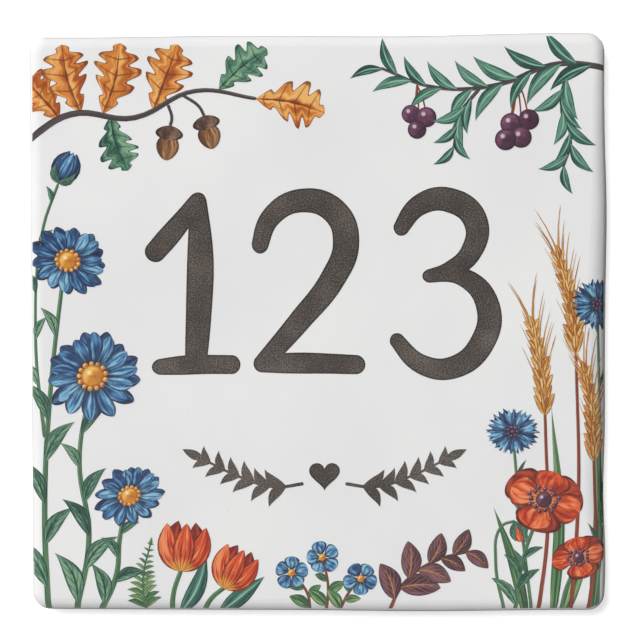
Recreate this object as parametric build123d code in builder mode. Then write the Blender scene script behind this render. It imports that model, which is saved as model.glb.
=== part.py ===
"""House number plaque: one square glazed ceramic tile, pressed and fired as a single piece.

The plaque hangs upright. +X is to the right, +Z is up and the face looks along -Y.
The origin is the middle of the back, where it meets the wall.
"""
import os

from build123d import *
from OCP.BRepFilletAPI import BRepFilletAPI_MakeFillet
from OCP.gp import gp_Pnt2d
from OCP.TColgp import TColgp_Array1OfPnt2d

# Blank, in millimetres
TILE_WIDTH = 150.0
TILE_HEIGHT = 150.0
TILE_THICKNESS = 9.0

# Edges
FACE_EDGE_ROUND = 3.4  # pillowed roll from the face down to the sides
FACE_CORNER_RADIUS = 1.2  # corner of the flat of the face, inside the roll
BACK_BEVEL = 0.8  # pressed arris round the back

# The roll broadens down the right side: (share of the way up that edge, times FACE_EDGE_ROUND)
CORNER_ROLL_GROWTH = ((0.0, 1.0), (1.0, 1.25))  # round the bottom right corner
RIGHT_ROLL_GROWTH = ((0.0, 1.25), (0.1, 1.6), (0.35, 1.75), (0.65, 1.5), (1.0, 1.0))

# Hand-trimmed outline: how far each corner strays from a true square, (right, up)
TOP_LEFT_DRIFT = (-0.5, -0.45)
TOP_RIGHT_DRIFT = (0.0, 0.5)
BOTTOM_RIGHT_DRIFT = (-0.6, -0.2)
BOTTOM_LEFT_DRIFT = (0.5, 0.15)

# How far a side bulges (+) or dips (-) at even steps from corner to corner, going round
# anticlockwise from the bottom left corner; the left side is straight
BOTTOM_WANDER = (0.15, 0.2, 0.25, 0.45, 0.2)
RIGHT_WANDER = (0.9, 0.45, 0.75, 0.75, 0.7, 0.8, 0.8, 0.25, -0.1)
TOP_WANDER = (0.1, -0.35, -0.15, 0.05, -0.15)

# Keyed back: shallow drafted pockets that leave a grid of ribs for the adhesive to grip
KEY_COLUMNS = 6
KEY_ROWS = 6
KEY_BORDER = 10.5
KEY_RIB = 4.0
KEY_DEPTH = 0.8
KEY_DRAFT_ANGLE = 25.0

OUTLINE_CORNER_RADIUS = FACE_CORNER_RADIUS + FACE_EDGE_ROUND
KEY_CELL_WIDTH = (TILE_WIDTH - 2 * KEY_BORDER - (KEY_COLUMNS - 1) * KEY_RIB) / KEY_COLUMNS
KEY_CELL_HEIGHT = (TILE_HEIGHT - 2 * KEY_BORDER - (KEY_ROWS - 1) * KEY_RIB) / KEY_ROWS


def drifted_corner(right, up, drift):
    """A corner of the outline; right and up are -1 or +1."""
    return Vector(right * TILE_WIDTH / 2 + drift[0], up * TILE_HEIGHT / 2 + drift[1])


def wandering_side(start, end, wander):
    """Points of one side from corner to corner, each moved outwards by its share of wander."""
    along = end - start
    outwards = Vector(along.Y, -along.X).normalized()
    points = [start]
    for step, bulge in enumerate(wander, start=1):
        points.append(start + along * (step / (len(wander) + 1)) + outwards * bulge)
    points.append(end)
    return points


def roll_radii(growth):
    """The radii along one edge of the roll, from growth's pairs."""
    radii = TColgp_Array1OfPnt2d(1, len(growth))
    for place, (share, times) in enumerate(growth, start=1):
        radii.SetValue(place, gp_Pnt2d(share, times * FACE_EDGE_ROUND))
    return radii


def rolled(blank):
    """The blank with the edge of its face rolled all round, more broadly down the right side."""
    face = blank.faces().sort_by(Axis.Y)[0]
    roll = BRepFilletAPI_MakeFillet(blank.solid().wrapped)
    roll.Add(FACE_EDGE_ROUND, face.edges()[0].wrapped)  # the edges run on smoothly, so this takes them all
    middles = {place: Edge(roll.Edge(1, place)).center() for place in range(1, roll.NbEdges(1) + 1)}
    right_side = max(middles, key=lambda place: middles[place].X)
    right_corner = max(middles, key=lambda place: middles[place].X - middles[place].Z)
    roll.SetRadius(roll_radii(RIGHT_ROLL_GROWTH), 1, right_side)
    roll.SetRadius(roll_radii(CORNER_ROLL_GROWTH), 1, right_corner)
    return Part(roll.Shape()).solid()


bottom_left = drifted_corner(-1, -1, BOTTOM_LEFT_DRIFT)
bottom_right = drifted_corner(1, -1, BOTTOM_RIGHT_DRIFT)
top_right = drifted_corner(1, 1, TOP_RIGHT_DRIFT)
top_left = drifted_corner(-1, 1, TOP_LEFT_DRIFT)

with BuildPart() as blank:
    # Hand-trimmed outline, drawn out from the wall towards the viewer, with rounded corners
    with BuildSketch(Plane.XZ):
        with BuildLine():
            Spline(*wandering_side(bottom_left, bottom_right, BOTTOM_WANDER))
            Spline(*wandering_side(bottom_right, top_right, RIGHT_WANDER))
            Spline(*wandering_side(top_right, top_left, TOP_WANDER))
            Line(top_left, bottom_left)
        make_face()
    extrude(amount=TILE_THICKNESS)
    fillet(blank.edges().filter_by(Axis.Y), radius=OUTLINE_CORNER_RADIUS)

with BuildPart() as plaque:
    # Soft roll round the face, then the bevelled back edge
    add(rolled(blank.part))
    chamfer(plaque.faces().sort_by(Axis.Y)[-1].edges(), length=BACK_BEVEL)

    # Drafted pockets pressed into the back
    with BuildSketch(Plane.XZ):
        with GridLocations(KEY_CELL_WIDTH + KEY_RIB, KEY_CELL_HEIGHT + KEY_RIB, KEY_COLUMNS, KEY_ROWS):
            Rectangle(KEY_CELL_WIDTH, KEY_CELL_HEIGHT)
    extrude(amount=KEY_DEPTH, taper=KEY_DRAFT_ANGLE, mode=Mode.SUBTRACT)

plaque.part.label = "plaque"

os.makedirs("parts", exist_ok=True)
export_step(plaque.part, "parts/plaque.step")
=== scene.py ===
"""Looks of the house number plaque: white glaze, bare clay back, charcoal number and painted border.

The print is a thin fired film on the glaze. Every printed shape is grown flat in the plane of the
face, cut off straight at the print's margin, then laid down on the tile so that it follows the roll.
"""
import math

import bmesh
import bpy
from mathutils import Matrix, Vector
from mathutils.geometry import delaunay_2d_cdt


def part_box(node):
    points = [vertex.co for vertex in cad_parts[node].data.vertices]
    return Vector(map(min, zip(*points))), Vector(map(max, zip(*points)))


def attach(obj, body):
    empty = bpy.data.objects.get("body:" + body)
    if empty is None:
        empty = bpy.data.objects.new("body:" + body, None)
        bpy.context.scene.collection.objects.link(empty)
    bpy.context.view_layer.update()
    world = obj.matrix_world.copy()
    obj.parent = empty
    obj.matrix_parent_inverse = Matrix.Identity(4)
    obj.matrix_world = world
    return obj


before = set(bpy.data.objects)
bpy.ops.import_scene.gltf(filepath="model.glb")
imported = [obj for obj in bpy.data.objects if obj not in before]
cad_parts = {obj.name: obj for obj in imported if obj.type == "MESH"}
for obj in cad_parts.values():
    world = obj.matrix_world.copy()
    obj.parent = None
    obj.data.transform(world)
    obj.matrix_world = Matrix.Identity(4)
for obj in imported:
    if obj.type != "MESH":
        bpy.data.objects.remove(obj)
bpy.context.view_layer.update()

MM = 0.001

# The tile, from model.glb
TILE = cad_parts["plaque"]
TILE_LOW, TILE_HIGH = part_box("plaque")
FACE_Y = TILE_LOW.y
BACK_Y = TILE_HIGH.y

# The print
PRINT_HALF = 74.4 * MM  # the print stops here on all four sides, just short of the tile's edge
FILM_LIFT = 0.05 * MM  # how proud of the glaze the lowest film stands
FILM_SINK = 0.03 * MM  # how far every film reaches into the glaze
LAYER_STEP = 0.02 * MM  # a print laid over another stands this much higher
OVERLAP_STEP = 0.001 * MM  # and each leaf this much higher than the one before it
ROLL_STEPS = (69.8, 70.5, 71.2, 71.8, 72.4, 72.9, 73.4, 73.9)  # extra cuts in mm, for the bend over the roll
CORNER_CENTRE = 70.6 * MM  # the print's corners are rounded about this point
CORNER_RADIUS = 3.4 * MM
SHARP_ANGLE = math.radians(40)  # a film's edges are sharp beyond this angle

# Blades and stalks
PATH_STEPS = 24  # steps between two points of a path
LEAST_HALF_WIDTH = 0.03  # of a blade, in mm
SQUARE_END = 1e-4  # a blade is rounded off over this share of its length, next to nothing
STALK_END = 0.01  # and a stalk over this share
STALK_ROWS = 10
STALK_ROWS_PER_POINT = 6

# Layers of the print: where motifs cross, the one in the higher layer lies on top
GROUND_LAYER = 0
THIN_STALK_LAYER = 0.5
BARLEY_LAYER = 1
POPPY_STALK_LAYER = 2
FLOWER_LAYER = 3
TOP_FLOWER_LAYER = 5

# How one leaf, petal or dot differs from the next
PETAL_SIZE_JITTER = 0.08
PETAL_ANGLE_JITTER = math.radians(4)
LEAF_SEED_STEPS = (11.0, 37.0, 53.0)  # from a sprig's seed to those for angle, size and tint
SIZE_SEED_STEP = 5.0
TINT_SEED_STEP = 9.0
SAME_WITHIN = 0.1  # whole numbers this close are the same


# Node graphs


class Wire:
    """An output of a node; adding, multiplying and so on put Math nodes after it."""

    def __init__(self, graph, socket):
        self.graph = graph
        self.socket = socket

    def __add__(self, other):
        return self.graph.math("ADD", self, other)

    def __sub__(self, other):
        return self.graph.math("SUBTRACT", self, other)

    def __rsub__(self, other):
        return self.graph.math("SUBTRACT", other, self)

    def __mul__(self, other):
        return self.graph.math("MULTIPLY", self, other)

    def __truediv__(self, other):
        return self.graph.math("DIVIDE", self, other)

    def __pow__(self, other):
        return self.graph.math("POWER", self, other)

    __rmul__ = __mul__


class Graph:
    """Adds nodes to one tree and joins them up."""

    def __init__(self, tree):
        self.tree = tree

    def feed(self, socket, value):
        """Links a wire to a socket, or sets the socket's own value."""
        if isinstance(value, Wire):
            self.tree.links.new(value.socket, socket)
        elif value is not None:
            socket.default_value = value

    def add(self, kind, settings=None, **inputs):
        """A node with its settings and inputs; an input's spaces are written as underscores."""
        node = self.tree.nodes.new(kind)
        for name, value in (settings or {}).items():
            setattr(node, name, value)
        for name, value in inputs.items():
            label = name.replace("_", " ")
            socket = next(s for s in node.inputs if s.name == label and s.enabled)
            for one in value if isinstance(value, list) else [value]:
                self.feed(socket, one)
        return node

    def out(self, node, name=None):
        """A node's output by name, or the first one in use."""
        return Wire(self, next(s for s in node.outputs if s.enabled and name in (None, s.name)))

    def get(self, kind, settings=None, output=None, **inputs):
        """The output of a new node whose inputs are fed by name."""
        return self.out(self.add(kind, settings, **inputs), output)

    def fed(self, kind, values, **settings):
        """The output of a new node whose inputs are fed in order."""
        node = self.add(kind, settings)
        for socket, value in zip(node.inputs, values):
            self.feed(socket, value)
        return self.out(node)

    def math(self, operation, *values):
        return self.fed("ShaderNodeMath", values, operation=operation)

    def sine(self, value):
        return self.math("SINE", value)

    def cosine(self, value):
        return self.math("COSINE", value)

    def lowest(self, a, b):
        return self.math("MINIMUM", a, b)

    def highest(self, a, b):
        return self.math("MAXIMUM", a, b)

    def vector(self, x=0.0, y=0.0, z=0.0):
        return self.get("ShaderNodeCombineXYZ", X=x, Y=y, Z=z)

    def parts(self, vector):
        node = self.add("ShaderNodeSeparateXYZ", Vector=vector)
        return [self.out(node, axis) for axis in "XYZ"]

    def ease(self, value, low, high):
        """0 below low, 1 above high and a smooth step between."""
        settings = {"interpolation_type": "SMOOTHSTEP"}
        return self.get("ShaderNodeMapRange", settings, Value=value, From_Min=low, From_Max=high)

    def fade(self, value, low, high):
        """1 below low, 0 above high and a smooth step between."""
        return 1.0 - self.ease(value, low, high)

    def off_middle(self, share):
        """How far a share lies from a half, either way."""
        return self.math("ABSOLUTE", share - 0.5)

    def chance(self, seed, low=-1.0):
        """A random number from low to 1 for each point, fixed by the seed."""
        return self.get("FunctionNodeRandomValue", Min=low, Max=1.0, Seed=seed)

    def pointing(self, heading):
        """The turn that lays a template's length along heading, flat in the plane of the face."""
        return self.get(
            "FunctionNodeAxesToRotation",
            {"primary_axis": "Z", "secondary_axis": "Y"},
            Primary_Axis=heading,
            Secondary_Axis=(0.0, 1.0, 0.0),
        )


# Geometry trees

SOCKETS = {
    "geometry": "NodeSocketGeometry",
    "number": "NodeSocketFloat",
    "count": "NodeSocketInt",
    "place": "NodeSocketVector",
    "object": "NodeSocketObject",
    "finish": "NodeSocketMaterial",
    "switch": "NodeSocketBool",
}


def new_tree(name, **inputs):
    """The graph of an empty geometry tree, and the wires of its finish and its named inputs of each kind."""
    tree = bpy.data.node_groups.new(name, "GeometryNodeTree")
    tree.interface.new_socket("Geometry", in_out="OUTPUT", socket_type=SOCKETS["geometry"])
    labels = []
    for kind, of_kind in {**inputs, "finish": ["Finish"]}.items():
        for label in of_kind:
            tree.interface.new_socket(label, in_out="INPUT", socket_type=SOCKETS[kind])
            labels.append(label)
    graph = Graph(tree)
    source = graph.add("NodeGroupInput")
    return graph, {label: graph.out(source, label) for label in labels}


def close_tree(graph, geometry, finish):
    """Ends a tree: instances made real, every face turned to the viewer, the finish set."""
    real = graph.get("GeometryNodeRealizeInstances", Geometry=geometry)
    facing = graph.parts(graph.get("GeometryNodeInputNormal"))[1]
    away = graph.math("GREATER_THAN", facing, 0.0)
    turned = graph.get("GeometryNodeFlipFaces", Mesh=real, Selection=away)
    done = graph.get("GeometryNodeSetMaterial", Geometry=turned, Material=finish)
    output = graph.add("NodeGroupOutput")
    graph.feed(output.inputs["Geometry"], done)
    return graph.tree


def store(graph, geometry, name, kind, domain, value):
    """The geometry with a named attribute on it."""
    settings = {"data_type": kind, "domain": domain}
    return graph.get("GeometryNodeStoreNamedAttribute", settings, Geometry=geometry, Name=name, Value=value)


def lifted(graph, points, turn, step):
    """The points, each as many steps off the face as its turn says."""
    lift = graph.vector(0.0, turn * step * -1.0, 0.0)
    return graph.get("GeometryNodeSetPosition", Geometry=points, Offset=lift)


def repeated(graph, points, shape, tint_seed, **placing):
    """The same shape on every point, each with a tint of its own."""
    pattern = graph.get("GeometryNodeObjectInfo", output="Geometry", Object=shape, As_Instance=True)
    shapes = graph.get("GeometryNodeInstanceOnPoints", Points=points, Instance=pattern, **placing)
    return store(graph, shapes, "tint", "FLOAT", "INSTANCE", graph.chance(tint_seed, low=0.0))


def blade_tree():
    """One painted stroke: a strip along the path that swells and tapers from root to tip."""
    graph, given = new_tree(
        "blade_on_path",
        geometry=["Path"],
        count=["Rows", "Columns"],
        number=["Root half width", "Tip half width", "Belly half width", "Belly lean", "Belly fullness",
                "Lobes", "Lobe depth", "Bay sharpness", "Sweep", "Round end", "Least half width", "Tint"],
    )
    grid = graph.add(
        "GeometryNodeMeshGrid", Size_X=1.0, Size_Y=1.0, Vertices_X=given["Rows"], Vertices_Y=given["Columns"]
    )
    row, column, _ = graph.parts(graph.get("GeometryNodeInputPosition"))
    along = 0.5 - graph.cosine((row + 0.5) * math.pi) * 0.5  # rows crowd towards both ends
    across = column + 0.5
    strip = store(graph, graph.out(grid, "Mesh"), "blade", "FLOAT2", "CORNER", graph.vector(along, across))
    strip = store(graph, strip, "tint", "FLOAT", "POINT", given["Tint"])

    belly = graph.sine(along ** given["Belly lean"] * math.pi) ** given["Belly fullness"]
    half = given["Root half width"] + (given["Tip half width"] - given["Root half width"]) * along
    half = half + belly * given["Belly half width"]
    scallop = (graph.cosine(along * given["Lobes"] * (2 * math.pi)) * 0.5 + 0.5) ** given["Bay sharpness"]
    half = half * (1.0 - scallop * given["Lobe depth"])
    from_end = graph.lowest(graph.lowest(along, 1.0 - along) / given["Round end"], 1.0)
    half = half * graph.math("SQRT", 1.0 - (1.0 - from_end) ** 2.0)
    half = graph.highest(half, given["Least half width"])

    sample = graph.add("GeometryNodeSampleCurve", {"mode": "FACTOR"}, Curves=given["Path"], Factor=along)
    middle_x, _, middle_z = graph.parts(graph.out(sample, "Position"))
    run_x, _, run_z = graph.parts(graph.out(sample, "Tangent"))
    aside = half * (across * 2.0 - 1.0)
    ahead = graph.math("ABSOLUTE", aside) * (1.0 - along ** 3.0) * given["Sweep"]
    place = graph.vector(
        middle_x - run_z * aside + run_x * ahead, 0.0, middle_z + run_x * aside + run_z * ahead
    )
    strip = graph.get("GeometryNodeSetPosition", Geometry=strip, Position=place)
    return close_tree(graph, strip, given["Finish"])


def sprig_tree():
    """Leaves along a path, set alternately or in pairs, smaller towards the tip."""
    graph, given = new_tree(
        "leaves_on_path",
        geometry=["Path"],
        object=["Leaf"],
        count=["Count", "Seed"],
        number=["Start", "End", "Leaf length", "Leaf width", "Tip scale", "Size jitter", "Angle",
                "Angle jitter", "Overlap step"],
        switch=["In pairs"],
    )
    ends = {"Start": given["Start"], "End": given["End"]}
    run = graph.get("GeometryNodeTrimCurve", {"mode": "FACTOR"}, Curve=given["Path"], **ends)
    stations = graph.add("GeometryNodeCurveToPoints", {"mode": "COUNT"}, Curve=run, Count=given["Count"])
    index = graph.get("GeometryNodeInputIndex")
    share = index / graph.highest(given["Count"] - 1.0, 1.0)
    run_x, _, run_z = graph.parts(graph.out(stations, "Tangent"))
    odd = graph.math("MODULO", index, 2.0)
    rows = []
    for side, turn in enumerate((1.0, -1.0)):
        angle_seed, size_seed, tint_seed = (given["Seed"] + step * (side + 1) for step in LEAF_SEED_STEPS)
        angle = (given["Angle"] + graph.chance(angle_seed) * given["Angle jitter"]) * turn
        cosine, sine = graph.cosine(angle), graph.sine(angle)
        heading = graph.vector(run_x * cosine - run_z * sine, 0.0, run_z * cosine + run_x * sine)
        on_side = graph.math("COMPARE", odd, float(side), SAME_WITHIN)
        growth = graph.chance(size_seed) * given["Size jitter"] + 1.0
        size = (1.0 - share * (1.0 - given["Tip scale"])) * growth
        leaves = repeated(
            graph,
            lifted(graph, graph.out(stations, "Points"), index * 2.0 + side, given["Overlap step"]),
            given["Leaf"],
            tint_seed,
            Selection=graph.highest(given["In pairs"], on_side),
            Rotation=graph.pointing(heading),
            Scale=graph.vector(size * given["Leaf width"] * turn, 1.0, size * given["Leaf length"]),
        )
        rows.append(leaves)
    return close_tree(graph, graph.get("GeometryNodeJoinGeometry", Geometry=rows), given["Finish"])


def rosette_tree():
    """Petals round a flower's middle, seen at a slant."""
    graph, given = new_tree(
        "petals_round_middle",
        object=["Petal"],
        count=["Count", "Seed"],
        number=["Inner radius", "Petal length", "Petal width", "Size jitter", "First angle", "Angle jitter",
                "Slant", "Roll", "Overlap step"],
        place=["Middle"],
    )
    index = graph.get("GeometryNodeInputIndex")
    wobble = graph.chance(given["Seed"]) * given["Angle jitter"]
    angle = given["First angle"] + index * (2 * math.pi) / given["Count"] + wobble
    out_x, out_z = graph.cosine(angle), graph.sine(angle)
    radius = given["Inner radius"]
    place = graph.vector(out_x * radius, index * given["Overlap step"] * -1.0, out_z * radius)
    size = graph.chance(given["Seed"] + SIZE_SEED_STEP) * given["Size jitter"] + 1.0
    petals = repeated(
        graph,
        graph.get("GeometryNodePoints", Count=given["Count"], Position=place),
        given["Petal"],
        given["Seed"] + TINT_SEED_STEP,
        Rotation=graph.pointing(graph.vector(out_x, 0.0, out_z)),
        Scale=graph.vector(given["Petal width"], 1.0, size * given["Petal length"]),
    )
    flat = graph.get("GeometryNodeRealizeInstances", Geometry=petals)
    slanted = graph.get("GeometryNodeTransform", Geometry=flat, Scale=graph.vector(1.0, 1.0, given["Slant"]))
    rolled = graph.get(
        "GeometryNodeTransform",
        Geometry=slanted,
        Rotation=graph.vector(0.0, given["Roll"] * -1.0, 0.0),
        Translation=given["Middle"],
    )
    return close_tree(graph, rolled, given["Finish"])


def cluster_tree():
    """The same small shape on each given point, such as berries, each a little larger or smaller."""
    graph, given = new_tree(
        "shapes_on_points",
        geometry=["Points"],
        object=["Shape"],
        count=["Seed"],
        number=["Size", "Size jitter", "Overlap step"],
    )
    size = (graph.chance(given["Seed"]) * given["Size jitter"] + 1.0) * given["Size"]
    shapes = repeated(
        graph,
        lifted(graph, given["Points"], graph.get("GeometryNodeInputIndex"), given["Overlap step"]),
        given["Shape"],
        given["Seed"] + TINT_SEED_STEP,
        Scale=graph.vector(size, 1.0, size),
    )
    return close_tree(graph, shapes, given["Finish"])


def laying_tree():
    """Lays a flat print on the tile: each point drops onto the face or the roll below it."""
    graph, given = new_tree("laid_on_tile", geometry=["Print"], object=["Tile"], number=["Lift"])
    above = 50 * MM  # the rays start well in front of the face
    x, layer, z = graph.parts(graph.get("GeometryNodeInputPosition"))
    tile = graph.get("GeometryNodeObjectInfo", output="Geometry", Object=given["Tile"])
    drop = graph.add(
        "GeometryNodeRaycast",
        Target_Geometry=tile,
        Source_Position=graph.vector(x, -above, z),
        Ray_Direction=(0.0, 1.0, 0.0),
        Ray_Length=2 * above,
    )
    _, surface, _ = graph.parts(graph.out(drop, "Hit Position"))
    place = graph.vector(x, surface + layer - given["Lift"], z)
    laid = graph.get("GeometryNodeSetPosition", Geometry=given["Print"], Position=place)
    return close_tree(graph, laid, given["Finish"])


BLADE = blade_tree()
SPRIG = sprig_tree()
ROSETTE = rosette_tree()
CLUSTER = cluster_tree()
LAYING = laying_tree()


def evaluated_mesh(host):
    """The host's mesh with its modifiers in it."""
    graph = bpy.context.evaluated_depsgraph_get()
    return bpy.data.meshes.new_from_object(
        host.evaluated_get(graph), preserve_all_data_layers=True, depsgraph=graph
    )


def set_inputs(modifier, inputs):
    """Sets the inputs of a modifier's tree, found by their names."""
    for item in modifier.node_group.interface.items_tree:
        if item.in_out == "INPUT" and item.name in inputs:
            modifier[item.identifier] = inputs[item.name]


def grown(tree, data, **inputs):
    """The plain mesh that a tree grows on a path, on points or on nothing."""
    host = bpy.data.objects.new("host", data)
    modifier = host.modifiers.new("grow", "NODES")
    modifier.node_group = tree
    set_inputs(modifier, {name.replace("_", " "): value for name, value in inputs.items()})
    bpy.context.scene.collection.objects.link(host)
    mesh = evaluated_mesh(host)
    bpy.data.objects.remove(host)
    return mesh


def path(points):
    """A smooth path through points given in millimetres, right and up from the middle of the face."""
    curve = bpy.data.curves.new("path", "CURVE")
    curve.dimensions = "3D"
    curve.resolution_u = PATH_STEPS
    spline = curve.splines.new("BEZIER")
    spline.bezier_points.add(len(points) - 1)
    for knot, (right, up) in zip(spline.bezier_points, points):
        knot.co = (right * MM, 0.0, up * MM)
        knot.handle_left_type = "AUTO"
        knot.handle_right_type = "AUTO"
    return curve


def blade(points, rows, columns=5, root=0.0, tip=0.0, belly=0.0, lean=1.0, fullness=1.0, lobes=0.0,
          lobe_depth=0.0, bay=1.0, sweep=0.0, round_end=SQUARE_END, least=LEAST_HALF_WIDTH, tint=0.5):
    """A flat blade along points; its half widths are in millimetres."""
    return grown(
        BLADE,
        path(points),
        Rows=rows,
        Columns=columns,
        Root_half_width=root * MM,
        Tip_half_width=tip * MM,
        Belly_half_width=belly * MM,
        Belly_lean=lean,
        Belly_fullness=fullness,
        Lobes=lobes,
        Lobe_depth=lobe_depth,
        Bay_sharpness=bay,
        Sweep=sweep,
        Round_end=round_end,
        Least_half_width=least * MM,
        Tint=tint,
    )


TEMPLATES = []
UNIT = 1000.0  # a template's unit length, written in millimetres
LEAST_SHARE = 0.012  # half the width of a leaf template at its pointed ends


def template(name, mesh):
    """A shape that the trees repeat: one unit long, from its root at the origin up along Z."""
    shape = bpy.data.objects.new(name, mesh)
    shape.hide_render = True
    bpy.context.scene.collection.objects.link(shape)
    TEMPLATES.append(shape)
    return shape


def straight_strip(**form):
    """A blade of unit length from the origin up along Z, without a tint, which each repeat brings."""
    mesh = blade(((0.0, 0.0), (0.0, 0.5 * UNIT), (0.0, UNIT)), **form)
    mesh.attributes.remove(mesh.attributes["tint"])
    return mesh


def leaf_shape(name, bend, **form):
    """A leaf or petal template of unit length and width; bend is how many widths its middle bows aside."""
    mesh = straight_strip(belly=0.5 * UNIT, least=LEAST_SHARE * UNIT, **form)
    for vert in mesh.vertices:
        vert.co.x += bend * 4 * vert.co.z * (1 - vert.co.z)  # most at half its length
    return template(name, mesh)


def toothed_shape(name, teeth, tooth_depth, root, rows=9):
    """A petal template that widens from its root to a toothed end; root is its share of the width there."""
    mesh = straight_strip(rows=rows, columns=2 * teeth + 1, least=0.5 * UNIT)
    for vert in mesh.vertices:
        step = round((vert.co.x + 0.5) * 2 * teeth)
        vert.co.x *= root + (1 - root) * vert.co.z
        if step % 2 == 0:  # even steps across end in notches
            vert.co.z -= tooth_depth * vert.co.z ** 3
    return template(name, mesh)


def disc_shape(name, sides=24):
    """A round template of unit diameter with a flat map across it."""
    bm = bmesh.new()
    uv = bm.loops.layers.uv.new("blade")
    rim = []
    for step in range(sides):
        angle = 2 * math.pi * step / sides
        rim.append(bm.verts.new((0.5 * math.cos(angle), 0.0, 0.5 * math.sin(angle))))
    middle = bm.verts.new((0.0, 0.0, 0.0))
    for step in range(sides):
        face = bm.faces.new((middle, rim[step], rim[(step + 1) % sides]))
        for loop in face.loops:
            loop[uv].uv = (loop.vert.co.x + 0.5, loop.vert.co.z + 0.5)
    mesh = bpy.data.meshes.new(name)
    bm.to_mesh(mesh)
    bm.free()
    return template(name, mesh)


def points_at(places):
    """Loose points in the plane of the face, given in millimetres."""
    mesh = bpy.data.meshes.new("points")
    mesh.from_pydata([(right * MM, 0.0, up * MM) for right, up in places], [], [])
    return mesh


def cut(bm, direction, distance, keep_outer):
    """Cuts a flat mesh along a line that far from the middle."""
    if max((vert.co.dot(direction) for vert in bm.verts), default=0.0) <= distance:
        return
    bmesh.ops.bisect_plane(
        bm,
        geom=bm.verts[:] + bm.edges[:] + bm.faces[:],
        plane_co=direction * distance,
        plane_no=direction,
        clear_outer=not keep_outer,
    )


def trimmed(bm):
    """Cuts the print off at its margin, rounds its corners, and cuts it up for the bend over the roll."""
    for quarter in range(4):
        turn = quarter * math.pi / 2
        side = Vector((round(math.cos(turn)), 0.0, round(math.sin(turn))))
        cut(bm, side, PRINT_HALF, keep_outer=False)
        for step in ROLL_STEPS:
            cut(bm, side, step * MM, keep_outer=True)
        for eighth in (1, 2, 3):
            angle = turn + eighth * math.pi / 8
            way = Vector((math.cos(angle), 0.0, math.sin(angle)))
            centre = Vector((math.cos(turn + math.pi / 4), 0.0, math.sin(turn + math.pi / 4)))
            reach = centre.dot(way) * CORNER_CENTRE * math.sqrt(2) + CORNER_RADIUS
            cut(bm, way, reach, keep_outer=False)


def printed(name, meshes, finish, layer):
    """One finished piece of print from flat meshes of one finish, laid on the tile as a closed film."""
    bm = bmesh.new()
    raised = 0.0
    for mesh in meshes:
        own_height = max(-vert.co.y for vert in mesh.vertices)
        mesh.transform(Matrix.Translation((0.0, -raised, 0.0)))
        bm.from_mesh(mesh)
        raised += own_height + OVERLAP_STEP
    trimmed(bm)
    flat = bpy.data.meshes.new(name)
    bm.to_mesh(flat)
    bm.free()
    lift = FILM_LIFT + layer * LAYER_STEP
    host = bpy.data.objects.new(name, flat)
    laying = host.modifiers.new("laying", "NODES")
    laying.node_group = LAYING
    set_inputs(laying, {"Tile": TILE, "Lift": lift, "Finish": finish})
    film = host.modifiers.new("film", "SOLIDIFY")
    film.thickness = lift + raised + FILM_SINK
    film.offset = -1.0
    bpy.context.scene.collection.objects.link(host)
    host.data = evaluated_mesh(host)
    host.modifiers.clear()
    host.data.set_sharp_from_angle(angle=SHARP_ANGLE)
    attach(host, "root")


class Motif:
    """The flat meshes of one motif, kept by finish and height until they are laid on the tile."""

    def __init__(self, name, layer=GROUND_LAYER):
        self.name = name
        self.layer = layer
        self.films = {}

    def add(self, mesh, finish, height=0):
        self.films.setdefault((finish, height), []).append(mesh)

    def single(self, points, finish, height, **form):
        """One blade by itself."""
        self.add(blade(points, **form), finish, height)

    def stem(self, points, finish, root, tip, height=0):
        """A thin painted stalk; its half widths are in millimetres."""
        rows = STALK_ROWS + STALK_ROWS_PER_POINT * len(points)
        self.single(points, finish, height, rows=rows, columns=3, root=root, tip=tip, round_end=STALK_END)

    def leaves(self, points, leaf, finish, count, length, width, start, end, angle, seed, tip_scale=0.6,
               jitter=0.12, angle_jitter=8.0, pairs=False, height=1):
        """Leaves along a path; lengths in millimetres, angles from the path in degrees."""
        mesh = grown(
            SPRIG,
            path(points),
            Leaf=leaf,
            Count=count,
            Start=start,
            End=end,
            Leaf_length=length * MM,
            Leaf_width=width * MM,
            Tip_scale=tip_scale,
            Size_jitter=jitter,
            Angle=math.radians(angle),
            Angle_jitter=math.radians(angle_jitter),
            In_pairs=pairs,
            Overlap_step=OVERLAP_STEP,
            Seed=seed,
        )
        self.add(mesh, finish, height)

    def petals(self, middle, half, petal, finish, count, inner, length, width, seed, height, first=0.0,
               slant=1.0, roll=0.0):
        """Petals round a middle; inner radius, length and width are shares of half the flower's size.

        Slant squashes the flower and roll then turns it, in degrees.
        """
        mesh = grown(
            ROSETTE,
            bpy.data.meshes.new("none"),
            Petal=petal,
            Count=count,
            Inner_radius=half * inner * MM,
            Petal_length=half * length * MM,
            Petal_width=half * width * MM,
            Size_jitter=PETAL_SIZE_JITTER,
            First_angle=math.radians(first),
            Angle_jitter=PETAL_ANGLE_JITTER,
            Slant=slant,
            Roll=math.radians(roll),
            Middle=(middle[0] * MM, 0.0, middle[1] * MM),
            Overlap_step=OVERLAP_STEP,
            Seed=seed,
        )
        self.add(mesh, finish, height)

    def dots(self, places, finish, size, jitter=0.1, seed=1, height=3):
        """A round dot at each place, in millimetres."""
        mesh = grown(
            CLUSTER,
            points_at(places),
            Shape=DISC,
            Size=size * MM,
            Size_jitter=jitter,
            Overlap_step=OVERLAP_STEP,
            Seed=seed,
        )
        self.add(mesh, finish, height)

    def lay(self):
        """Lays the motif on the tile, one piece for each finish and height."""
        for (finish, height), meshes in self.films.items():
            label = "%s_%s_%d" % (self.name, finish.name, height)
            printed(label, meshes, finish, self.layer + height)


# Finishes


def seen(red, green, blue):
    """A colour as it looks on a screen, 0 to 255, as the shader's linear value."""
    def linear(level):
        share = level / 255
        return share / 12.92 if share <= 0.04045 else ((share + 0.055) / 1.055) ** 2.4
    return (linear(red), linear(green), linear(blue), 1.0)


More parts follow.
